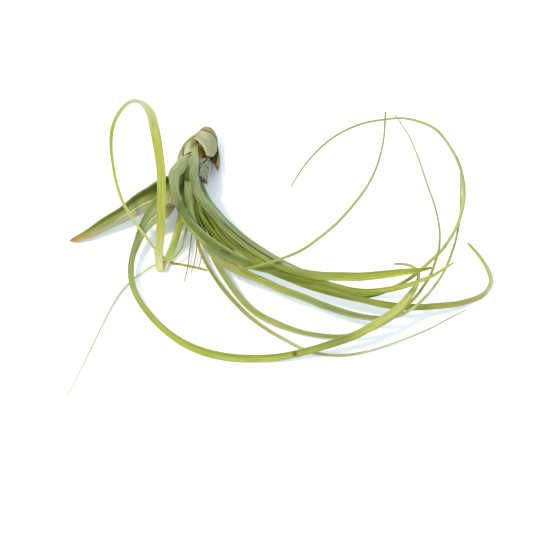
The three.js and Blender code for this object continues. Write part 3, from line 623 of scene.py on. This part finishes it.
upperLeaf = {
    "piece": "upperLeaf", "node": "upper_leaf", "slot": "leaf_sage",
    "rows": [
        [-56, 100, 18, 4.8], [-57, 93, 21.4, 6.2], [-57, 83, 25, 7.6], [-57.5, 73, 28.4, 8.2],
        [-55.5, 62.5, 31.4, 8], [-51.5, 54, 33.4, 7.8], [-41.5, 43, 35.4, 7], [-31, 31.5, 36.6, 7],
        [-16.5, 19, 37.6, 7], [1, 7.5, 38.2, 6.5], [15.5, -0.5, 38.2, 6.2], [29.5, -5, 38, 6.2],
        [45, -7.5, 37.8, 6.5], [61, -8, 38, 6.9], [77, -8, 38.6, 6.5], [93, -6.5, 39.6, 6.1],
        [109.5, -4.5, 41, 5.2], [121.5, -3, 42.2, 3.7], [132.5, -1, 43.2, 1.5],
    ],
    "across": 13, "cup": -0.14, "veins": 8,
    "front": [
        (0, "straw"), (1, "limeGrey"), (2, "greyGreen"), (4, "sageDark"), (7, "mossGrey"), (15, "yellowGreen"),
        (16, "yellowGreen"), (18, "mossLight"),
    ],
    "right": [
        (0, "limePale"), (2, "sageDark"), (4, "olive"), (5, "mossGrey"), (9, "fresh"), (11, "mossLight"),
        (12, "yellowGreen"), (16, "limeBright"), (18, "mossLight"),
    ],
    "left": [
        (0, "cream"), (1, "limePale"), (2, "scurf"), (4, "sageDark"), (6, "sage"), (8, "sageDark"),
        (10, "greyGreen"), (12, "olive"), (18, "oliveYellow"),
    ],
    "rear": [(0, "channel"), (12, "moss"), (18, "brown")],
    "bloom": [(0, 0.6), (6, 0.4), (9, 0.15), (18, 0)],
    "spots": [(15.3, 0.1, 1.3, 0.8, "brown"), (5.1, 0.95, 0.9, 0.9, "ink")],
    "stripes": [
        (3, 5.8, 0.85, 0.7, 0.2, 0.7, "mossLight"), (3, 4.6, -0.9, -0.9, 0.1, 0.8, "forest"),
        (5.8, 6.5, 0.55, 0.6, 0.12, 0.8, "ink"), (6.5, 7.8, 0.45, 0.4, 0.18, 0.6, "mossGrey"),
        # the black stripe is painted shade in the gap against backLeaf; the limeGrey stripe beside it is a
        # painted highlight
        (7.2, 9.2, 0.14, 0.12, 0.1, 0.6, "limeGrey"), (6.6, 9.7, -0.1, -0.22, 0.2, 0.97, "black"),
    ],
}

backLeaf = {
    "piece": "backLeaf", "node": "back_leaf", "slot": "leaf_sage",
    "rows": [
        [-55.5, 80, 18.6, 3.4], [-53.5, 71, 22.4, 4.6], [-51, 62, 25.6, 5.6], [-46.5, 52, 28.2, 6.4],
        [-39, 42, 30, 6.8], [-29, 31.5, 31.2, 6.8], [-16.5, 21, 31.8, 6.4], [-2.5, 12, 32, 5.8],
        [10.5, 4.5, 31.8, 5], [23.5, -1.5, 31.2, 4], [37.5, -6.5, 30.4, 2.8], [51, -9.5, 29.8, 1],
    ],
    "cup": -0.12, "veins": 6,
    "front": [
        (0, "sageLight"), (1, "sage"), (2, "mossGrey"), (3.4, "sage"), (6, "sageDark"), (7, "greyGreen"),
        (9, "sage"), (11, "olive"),
    ],
    "margin": ("scurf", 0.3),
    "bloom": [(0, 0.5), (8, 0.3), (11, 0)],
}

rightSweepLeaf = {
    "piece": "rightSweepLeaf", "node": "right_sweep_leaf", "slot": "leaf_green",
    "rows": [
        [-57, 75.5, 11, 3], [-57, 67, 11.2, 3.4], [-57, 57, 12.4, 3.8], [-55, 46.5, 12.8, 4.2],
        [-51.5, 33.5, 12.6, 4.4], [-47, 20, 11.8, 4.6], [-41.5, 7, 10.6, 4.8], [-35, -4.5, 9, 4.8],
        [-27, -16.5, 7.2, 4.8], [-17.5, -28.5, 5.6, 4.8], [-7, -37.5, 4.6, 4.8], [7.5, -45, 3.8, 4.8],
        [27, -52, 3.6, 3.7], [43, -55, 4.4, 3.5], [57.5, -56, 6, 3.3], [71.5, -54.5, 8.6, 3.3],
        [84, -50.5, 12.4, 3.2], [96, -44.5, 17, 2.8], [105.5, -38, 21.4, 2.6], [113, -31, 23.6, 2.4],
        [120.5, -23.5, 25.8, 2.3], [126.5, -15, 28.6, 2.2], [131.5, -7, 32.6, 2.1], [135, 2.5, 38.4, 2],
        [138, 12, 44, 1.9], [139, 21.5, 47.4, 1.8], [138.5, 32.5, 49.8, 1.6], [135, 48.5, 53, 1.4],
        [129, 65.5, 56, 1.5], [122, 86, 59, 1.5], [114.5, 104, 61.4, 1.3], [103, 121.5, 63.6, 0.9],
    ],
    "cup": 0.12, "veins": 5,
    "front": [
        (3, "pine"), (6, "yellowGreen"), (7, "greyGreen"), (10, "fresh"), (11, "softGreen"), (14, "fresh"),
        (17, "pale"), (19, "limeBright"), (20, "leafBright"), (27, "greyGreen"), (29, "scurf"),
    ],
    "right": [
        (6, "yellowGreen"), (9, "leafBright"), (11, "limeGrey"), (14, "olive"), (16, "cream"), (17, "limePale"),
        (19, "lime"), (27, "sage"),
    ],
    "stripes": [(2.6, 5, 0, 0, 0.9, 0.8, "vividDark")],
}

lowerThinLeaf = {
    "piece": "lowerThinLeaf", "node": "lower_thin_leaf", "slot": "leaf_lime",
    "rows": [
        [-60.5, 74.5, 10.4, 1.8], [-60.5, 63.5, 9.2, 1.9], [-60, 51, 8.4, 2], [-58.5, 37.5, 8.6, 2.2],
        [-55.5, 23, 8.4, 2.4], [-50.5, 8, 7.2, 2.5], [-42.5, -6.5, 5.6, 2.5], [-31, -22, 3.4, 3],
        [-15.5, -38, 1.9, 2.9], [0.5, -50, 1.5, 2.8], [16, -59, 1.4, 2.8], [29, -65.5, 1.3, 2.5],
        [41.5, -69.5, 1.3, 2.1], [56, -71, 1.3, 2], [70.5, -70, 1.4, 2], [85.5, -66.5, 1.8, 1.6],
        [107, -59.5, 2.6, 1.3], [130.5, -50, 3.8, 1.2], [146.5, -41.5, 4.8, 1.1], [160.5, -34.5, 5.6, 0.8],
    ],
    "across": 5, "cup": 0.1, "veins": 3,
    "front": [
        (4, "yellowGreen"), (6, "olive"), (9, "straw"), (11, "scurf"), (12, "limeGrey"), (13, "straw"),
        (15, "scurf"), (17, "sageLight"),
    ],
}

highStrand = {
    "piece": "highStrand", "node": "high_strand", "slot": "leaf_olive",
    "rows": [
        [-59.5, 72, 12.6, 1.5], [-57.5, 59, 15.4, 1.7], [-53, 44, 17, 1.9], [-46.5, 29.5, 17.8, 2],
        [-40, 18, 19.8, 2], [-33, 9, 23.6, 2], [-27, 3, 27.2, 2], [-21, -1, 30.2, 2], [-14.5, -1.5, 34.4, 2],
        [-7, 0.5, 39, 2], [8.5, 5, 43.6, 2], [27.5, 12.5, 47, 2.4], [40, 21, 49.2, 2.2], [56, 34, 52, 2.3],
        [70, 49.5, 54.8, 2.1], [82, 66, 57.4, 1.8], [90, 84, 59.6, 1.6], [94, 101, 61, 1.4],
        [95, 112, 61.6, 1.4], [95.5, 123.5, 62, 1.4],
    ],
    "across": 5, "cup": 0, "veins": 2,
    "front": [(3, "moss"), (4, "forest"), (6, "straw"), (8, "olive"), (12, "limeGrey"), (19, "sage")],
}

leaves = [
    broadLeaf, longArcLeaf, loopLeaf, trailingStrand, shoulderLeaf, centreLeaf, lowBendLeaf, highLoopLeaf,
    upperLeaf, backLeaf, rightSweepLeaf, lowerThinLeaf, highStrand,
]
leafPieces = {leaf["piece"]: leafPiece(leaf, number) for number, leaf in enumerate(leaves)}
print("stage: leaves made,", len(leaves))

# body, lip, rim, inside: colours of a sheath, its free end and its hidden face; the hidden face's colour is
# partly painted shade and is also painted into hollows as shade
# tail: (from, to, colour) down it
# marks: as a leaf's stripes, with places from 0 to 1 both ways
bulb = {
    "piece": "bulbBody", "node": "bulb", "slot": "bulb_pale",
    "rows": [
        [-45.8, 109.6, 9.6, 2.2], [-46.6, 107.8, 9.6, 4.6], [-48.4, 104.2, 9.7, 8], [-50, 99.8, 9.8, 10],
        [-52.2, 93.6, 10.3, 10.8], [-54.4, 85.6, 13, 10.8], [-55.9, 78, 16, 10], [-57, 71.2, 18.4, 9.6],
        [-58, 65, 20.2, 8],
    ],
    "sides": 96,
    "steps": 120,
    "ridges": 17,
    "ridgeHeight": 0.3,
    "ridgeWander": 12,  # degrees
    "nestled": ["shoulderLeaf", "upperLeaf"],  # leaves whose bases press into it
    "nestleGap": 0.35,
    "nestleReach": 0.6,  # above the skin, where leaves still press
    "easing": 3,  # rounds that soften the rims of the dents
    "hollow": {  # under the front sheath's lip; carved, and painted in the hidden face's colour as shade
        "shares": (0.57, 0.7), "angles": (-14, 46), "softShare": 0.03, "softAngle": 8, "depth": 1.3,
    },
    "down": 0.75,  # how far down a sheath's pattern the neck comes, short of the lip's colours
    "across": 60,  # degrees round it that take one sheath's width of the pattern
    # the tail's dark green at the neck is painted shade under the leaf bases
    "body": "b0b08a", "lip": "93a07a", "rim": "93a07a", "insideAndShade": "7d6a2c", "tail": (0.56, 0.64, "56652f"),
}
bulbLine = Line(bulb["rows"])

dryLook = {
    "cloudScale": 220.0,
    "fineScale": 1500.0,
    "ribScale": 14.0,
    "ribStretch": 1.2,
    "contrast": (0.72, 1.08),  # gains of the body's colour between the ribs and on them
    "insideAndShadeContrast": (0.55, 1.5),
    "cloud": (0.45, 0.7, 0.35, 0.7),  # of its grain, from and to, strength and gain
    "fleck": (0.55, 0.7, 0.15, 1.35),
    "frayed": 0.2,  # how far the lip's colours wander, as a share of the sheath
    "lipBand": (0.82, 0.95),
    "rimBand": (0.96, 1.02),
    "lipStrength": 0.9,
    "roughness": 0.72,
    "roughSpread": 0.2,
    "bumpStrength": 0.5,
    "bumpDistance": 0.0004,  # metres
    "plain": {"Specular IOR Level": 0.03},
}


def papery(name, look):  # dry sheath: ribs along it, a paler lip with a dark rim, an inner face partly its own brown and partly painted shade, whose colour also paints shade into hollows
    material, shader, start = newMaterial(name, dryLook["plain"])
    down, across, innerAndShade = [start.attribute(label) for label in ("down", "across", "innerAndShade")]
    spot = start.node("ShaderNodeTexCoord", output="Object")
    cloud = start.grain(spot, dryLook["cloudScale"], 5.0)
    fine = start.grain(spot, dryLook["fineScale"], 3.0)
    ribScale = look.get("ribScale", dryLook["ribScale"])
    rib = start.strands(across + down * look.get("slant", 0), down * dryLook["ribStretch"], 3.0, ribScale)

    def shade(key, gain=1.0):
        return colour(look.get(key, key), leafLook["gain"] * gain)

    low, high = look.get("contrast", dryLook["contrast"])
    edge = down + (cloud - 0.5) * dryLook["frayed"]
    base = rib.ramp([(0.36, shade("body", low)), (0.64, shade("body", high))])
    low, high, strength, gain = dryLook["cloud"]
    base = base.mix(cloud.rise(low, high) * strength, shade("body", gain))
    if "tail" in look:
        first, final, code = look["tail"]
        base = base.mix(down.rise(first, final), shade(code))
    near, far = look.get("lipTo", (1.2, 1.4))  # places across, between which the lip's colours end
    rimmed = across.rise(far, near) * dryLook["lipStrength"]
    for key in ("lip", "rim"):
        base = base.mix(edge.rise(*dryLook[key + "Band"]) * rimmed, shade(key))
    for *route, strength, code in look.get("marks", []):
        base = base.mix(streak(down, across, *route) * strength, shade(code))
    low, high = dryLook["insideAndShadeContrast"]
    # the hidden face's colour, partly painted shade, on back faces and painted as shade into hollows of the
    # front
    base = base.mix(innerAndShade, rib.ramp([(0.42, shade("insideAndShade", low)), (0.58, shade("insideAndShade", high))]))
    low, high, strength, gain = dryLook["fleck"]
    base = base.mix(fine.rise(low, high) * strength, (gain, gain, gain, 1), "MULTIPLY")
    rough = dryLook["roughness"] + (cloud - 0.5) * dryLook["roughSpread"]
    surface(shader, dryLook, base, rough, rib * 0.8 + fine * 0.2)
    return material


def onBulb(share, angle, lift):  # share from the base to the neck, angle from the face seen, in degrees
    point, tangent, facing, side, size = bulbLine.at(share * bulbLine.last)
    turn = math.radians(angle)
    return point + (facing * math.cos(turn) - side * math.sin(turn)) * (size + lift)


def plateau(value, low, high, soft):  # 1 between low and high, falling to 0 over soft beyond each
    return clamp((value - low) / soft + 1) * clamp((high - value) / soft + 1)


def nestleDepths():  # how far the nestled leaves press in each point of the bulb
    sides, steps, reachOut = bulb["sides"], bulb["steps"], bulb["nestleReach"]
    trees = []
    for name in bulb["nestled"]:
        mesh = leafPieces[name].data
        polygons = [tuple(face.vertices) for face in mesh.polygons]
        trees.append(BVHTree.FromPolygons([vertex.co for vertex in mesh.vertices], polygons))
    depths = []
    for step in range(steps + 1):
        axis = (bulbLine.point(bulbLine.last * step / steps) + toFrame) * mm
        for index in range(sides):
            outwards = (onBulb(step / steps, 360 * index / sides, reachOut) + toFrame) * mm - axis
            depth = 0
            for tree in trees:
                found = tree.ray_cast(axis, outwards.normalized(), outwards.length)
                if found[0] is not None:
                    depth = max(depth, (outwards.length - found[3]) / mm - reachOut + bulb["nestleGap"])
            depths.append(depth)
    for _ in range(bulb["easing"]):  # a dent is never made shallower
        eased = []
        for step in range(steps + 1):
            here, before, after = step * sides, max(step - 1, 0) * sides, min(step + 1, steps) * sides
            for index in range(sides):
                near = depths[here + (index + 1) % sides] + depths[here + (index - 1) % sides]
                near += depths[before + index] + depths[after + index]
                eased.append(max(depths[here + index], near / 4))
        depths = eased
    return depths


def bulbPiece():
    sides, steps, hollow = bulb["sides"], bulb["steps"], bulb["hollow"]
    depths = nestleDepths()
    points, values = [], {"down": [], "across": [], "innerAndShade": []}
    for step in range(steps + 1):
        share = step / steps
        for index in range(sides):
            angle = 360 * index / sides
            wander = bulb["ridgeWander"] * noise.noise(Vector((share * 3, 1.7, 4)))
            ridge = math.sin(math.radians(angle + wander) * bulb["ridges"])
            lift = bulb["ridgeHeight"] * (ridge - 1) * 0.5 * min(1, share * 8)
            shade = plateau(share, *hollow["shares"], hollow["softShare"])
            shade *= plateau((angle + 180) % 360 - 180, *hollow["angles"], hollow["softAngle"])
            lift -= hollow["depth"] * shade
            point = onBulb(share, angle, lift - depths[step * sides + index])
            point.z = max(point.z, 0)
            points.append(point)
            note(values, share * bulb["down"], angle / bulb["across"], shade)
    for share in (0, 1):
        points.append(bulbLine.point(share * bulbLine.last))
        note(values, share * bulb["down"], 0, 0)
    faces = []
    baseEnd = len(points) - 2
    for index in range(sides):
        beside = (index + 1) % sides
        for step in range(steps):
            here, there = step * sides, (step + 1) * sides
            faces.append((here + index, there + index, there + beside, here + beside))
        faces.append((baseEnd, index, beside))
        faces.append((baseEnd + 1, steps * sides + beside, steps * sides + index))
    addPiece(bulb, points, faces, values, papery("bulbSkin", bulb))


sheathLook = {
    "across": 44,
    "down": 40,
    "thickness": 0.9,
    "lipThickness": 0.4,
    "ragged": 0.018,  # how far the lip's edge wanders, as a share of the bulb's length
    "billow": 0.35,  # how far the free end does
}

# start, end: shares of the bulb's length where the sheath is attached and where its lip is, at each side
# lobe, skew: how far the lip's middle reaches on, and how far to one side; droop: how far its right does
# left, right: degrees round the bulb; lift: off it, at the attached end, the middle and the lip
# hollowTo: the place across up to which its face lies in the shade
sheaths = [
    {
        "piece": "frontSheath", "node": "front_sheath", "slot": "sheath_pale",
        "start": 0.29, "endLeft": 0.54, "endRight": 0.5, "lobe": 0.19, "skew": 1.6, "left": -27, "right": 78,
        "lift": [0.5, 1.6, 3.2],
        "body": "b3b287", "lip": "cfc08e", "rim": "7d6434", "insideAndShade": "5c4a26", "contrast": (0.8, 1.05),
        "lipTo": (0.5, 0.8),
        # the first mark is a painted highlight along the upper-left ridge
        "marks": [(0.1, 0.6, 0.1, 0.3, 0.22, 0.6, "c9bd9c"), (0.2, 0.9, 0.55, 0.75, 0.12, 0.4, "8f9a6a")],
    },
    {
        "piece": "baseScale", "node": "base_scale", "slot": "sheath_tan",
        "start": 0.02, "endLeft": 0.31, "endRight": 0.31, "droop": 0.14, "left": -28, "right": 104,
        "lift": [0.7, 1.8, 1.4], "liftRight": [0.7, 3.4, 1.8],
        "body": "b3a57c", "lip": "9a875a", "rim": "5a4726", "insideAndShade": "4a3a20",
        "marks": [(0.55, 0.95, 0.2, 0.75, 0.06, 0.6, "6e5528")],
    },
    {
        "piece": "rightSheath", "node": "right_sheath", "slot": "sheath_tan",
        "start": 0.31, "endLeft": 0.68, "endRight": 0.7, "left": 62, "right": 104,
        "lift": [0.35, 0.8, 1.4], "liftRight": [0.35, 9, 7.6],
        "hollowTo": 0.6, "body": "979664", "lip": "7a5a2c", "rim": "6b4d22", "insideAndShade": "3d2e12",
    },
    {
        "piece": "leftSheath", "node": "left_sheath", "slot": "sheath_tan",
        "start": 0.4, "endLeft": 0.7, "endRight": 0.62, "left": -102, "right": -22,
        "lift": [0.6, 8.8, 5.6], "liftRight": [0.4, -1.2, -2.4],
        "body": "a39a63", "lip": "b3b98c", "rim": "a3ad7c", "insideAndShade": "5e5030",
        # the second mark, dark, is painted shade in the slit between this sheath and the leaf base
        "marks": [(0.5, 1.1, 0.62, 0.6, 0.16, 0.9, "c0c69c"), (0.68, 1.1, 0.44, 0.43, 0.04, 0.9, "3e3413")],
    },
    {
        "piece": "lowerSheath", "node": "lower_sheath", "slot": "sheath_grey",
        "start": 0.62, "startLeft": 0.74, "endLeft": 1, "endRight": 1, "left": 22, "right": 80,
        "lift": [0.6, 1, 3],
        # its darker lip and rim are painted shade where its lower end falls into shadow
        "body": "9b9c83", "lip": "77705a", "rim": "575240", "insideAndShade": "56513c",
        "slant": 0.9, "contrast": (0.5, 1.15), "ribScale": 5.0,
        "marks": [(0, 0.9, 0.95, 0.9, 0.09, 0.8, "d6d2b4"), (0.02, 0.3, 0.42, 0.1, 0.1, 0.95, "2c2714")],
    },
]


def sheathPiece(sheath):
    look, across, down = sheathLook, sheathLook["across"], sheathLook["down"]
    points, values = [], {"down": [], "across": [], "innerAndShade": []}
    for outward in (1, 0):
        for row in range(down + 1):
            for column in range(across + 1):
                reach, sideways = row / down, column / across
                end = lerp(sheath["endLeft"], sheath["endRight"], sideways)
                end += sheath.get("lobe", 0) * math.sin(math.pi * sideways ** sheath.get("skew", 1))
                end += sheath.get("droop", 0) * sideways ** 4
                end += look["ragged"] * noise.noise(Vector((sideways * 9, sheath["start"] * 50, 2)))
                top = lerp(sheath.get("startLeft", sheath["start"]), sheath["start"], sideways)
                share = lerp(top, end, reach)
                angle = lerp(sheath["left"], sheath["right"], sideways)
                lifts = zip(sheath["lift"], sheath.get("liftRight", sheath["lift"]))
                attached, middle, lip = [lerp(near, far, sideways) for near, far in lifts]
                lift = attached * (1 - reach) ** 2 + middle * 2 * (1 - reach) * reach + lip * reach ** 2
                bulge = noise.noise(Vector((sideways * 6, reach * 3, sheath["start"] * 30)))
                lift += look["billow"] * reach * bulge
                thick = lerp(look["thickness"], look["lipThickness"], reach)
                points.append(onBulb(share, angle, lift + outward * thick))
                shaded = clamp((sheath.get("hollowTo", 0) - sideways) * 12) * clamp(reach * 4 - 1)
                note(values, reach, sideways, max(1 - outward, shaded))
    columns = across + 1
    layer = columns * (down + 1)
    faces = []
    for row in range(down):
        for column in range(across):
            a = row * columns + column
            b = a + columns
            faces.append((a, b, b + 1, a + 1))
            faces.append((layer + a, layer + a + 1, layer + b + 1, layer + b))
    rim = [*range(across)]
    rim += [across + row * columns for row in range(down)]
    rim += [down * columns + across - column for column in range(across)]
    rim += [(down - row) * columns for row in range(down)]
    for here, there in zip(rim, rim[1:] + rim[:1]):
        faces.append((here, there, layer + there, layer + here))
    addPiece(sheath, points, faces, values, papery(sheath["piece"], sheath))


dryStrands = {
    "piece": "dryStrands", "node": "dry_strands", "slot": "dry_fibre",
    "strands": [
        [
            [-59, 77.5, 9, 1.2], [-59, 65.5, 7.4, 1.2], [-58.5, 53, 6.4, 1.2], [-58.5, 38.5, 5.8, 1.2],
            [-59.5, 25.5, 5, 1.1], [-61, 13, 4, 1], [-62.5, 0, 2.8, 0.9], [-65.5, -12, 1, 0.7],
        ],
        [
            [-58.5, 38.5, 5.8, 1.2], [-56.5, 27, 5, 1.1], [-55.5, 16, 4.2, 1], [-57, 5, 3.2, 0.9],
            [-60, -5, 1.8, 0.7],
        ],
        [
            [-56.5, 27, 5, 1.1], [-53, 16, 4.2, 1], [-52, 6.5, 3.4, 0.9], [-54, -1.5, 2.6, 0.7],
        ],
    ],
    "sides": 8,
    "stepsPerRow": 6,
    "radius": 0.42,  # as a share of the size in a row
    "down": 0.7,  # how far down a sheath's pattern a tip comes
    "body": "9a8a5c", "lip": "7d6a42", "rim": "7d6a42", "insideAndShade": "7d6a42",
}


def strandPiece():
    look, sides = dryStrands, dryStrands["sides"]
    points, faces, values = [], [], {"down": [], "across": [], "innerAndShade": []}
    for rows in look["strands"]:
        line = Line(rows)
        steps = line.last * look["stepsPerRow"]
        first = len(points)
        for step in range(steps + 1):
            point, tangent, facing, side, size = line.at(line.last * step / steps)
            for index in range(sides):
                turn = 2 * math.pi * index / sides
                outwards = side * math.cos(turn) + facing * math.sin(turn)
                points.append(point + outwards * (size * look["radius"]))
                note(values, step / steps * look["down"], index / sides, 0)
        sleeve(faces, [*range(sides)], steps, first)
    addPiece(look, points, faces, values, papery("dryFibre", look))


bulbPiece()
for sheath in sheaths:
    sheathPiece(sheath)
strandPiece()
print("stage: bulb, sheaths and fibres made")

studio = {
    "floorSize": 6.0,  # metres
    "floorDrop": 0.0002,  # metres, so that the lowest points clear it
    "floor": {"Base Color": (0.86, 0.86, 0.86, 1), "Roughness": 0.9, "Specular IOR Level": 0.1},
    "sky": {"Color": (0.82, 0.92, 1.0, 1), "Strength": 1.44},
    "lamp": {"shape": "DISK", "size": 0.3, "energy": 34, "color": (1.0, 0.85, 0.7)},
    "lampPlace": (-1.1, -0.4, 2.0),
}


def aimed(name, data, position, towards):  # a lamp or camera that looks along towards
    holder = addObject(name, data)
    holder.location = position
    holder.rotation_mode = "QUATERNION"
    holder.rotation_quaternion = towards.to_track_quat("-Z", "Y")
    return holder


def makeStudio():
    half = studio["floorSize"] / 2
    corners = [(-half, -half, 0), (half, -half, 0), (half, half, 0), (-half, half, 0)]
    mesh = bpy.data.meshes.new("floor")
    mesh.from_pydata(corners, [], [(0, 1, 2, 3)])
    mesh.materials.append(newMaterial("floorPaper", studio["floor"])[0])
    floor = addObject("floor", mesh)
    floor.location.z = -studio["floorDrop"]
    world = bpy.data.worlds.new("softSky")
    world.use_nodes = True
    fillInputs(world.node_tree.nodes["Background"], studio["sky"])
    bpy.context.scene.world = world
    lamp = bpy.data.lights.new("keyLamp", "AREA")
    for label, value in studio["lamp"].items():
        setattr(lamp, label, value)
    aimed("keyLamp", lamp, studio["lampPlace"], -Vector(studio["lampPlace"]))
    bpy.context.scene.view_settings.view_transform = "Standard"


camera = {
    "sensor": 36.0,
    "sheetWidth": 426.4,  # how much of the sheet the picture is wide
    "aside": 0.4,  # to the right of the sheet's middle
    "clip": (0.01, 20),  # metres
}


def makeCamera():
    data = bpy.data.cameras.new("camera")
    data.sensor_width = camera["sensor"]
    data.lens = camera["sensor"] * observer["distance"] / camera["sheetWidth"]
    data.clip_start, data.clip_end = camera["clip"]
    position = (observerPlace + toFrame + Vector((camera["aside"], 0, 0))) * mm
    bpy.context.scene.camera = aimed("camera", data, position, -towardsObserver)


makeStudio()
makeCamera()
print("stage: studio and camera made")
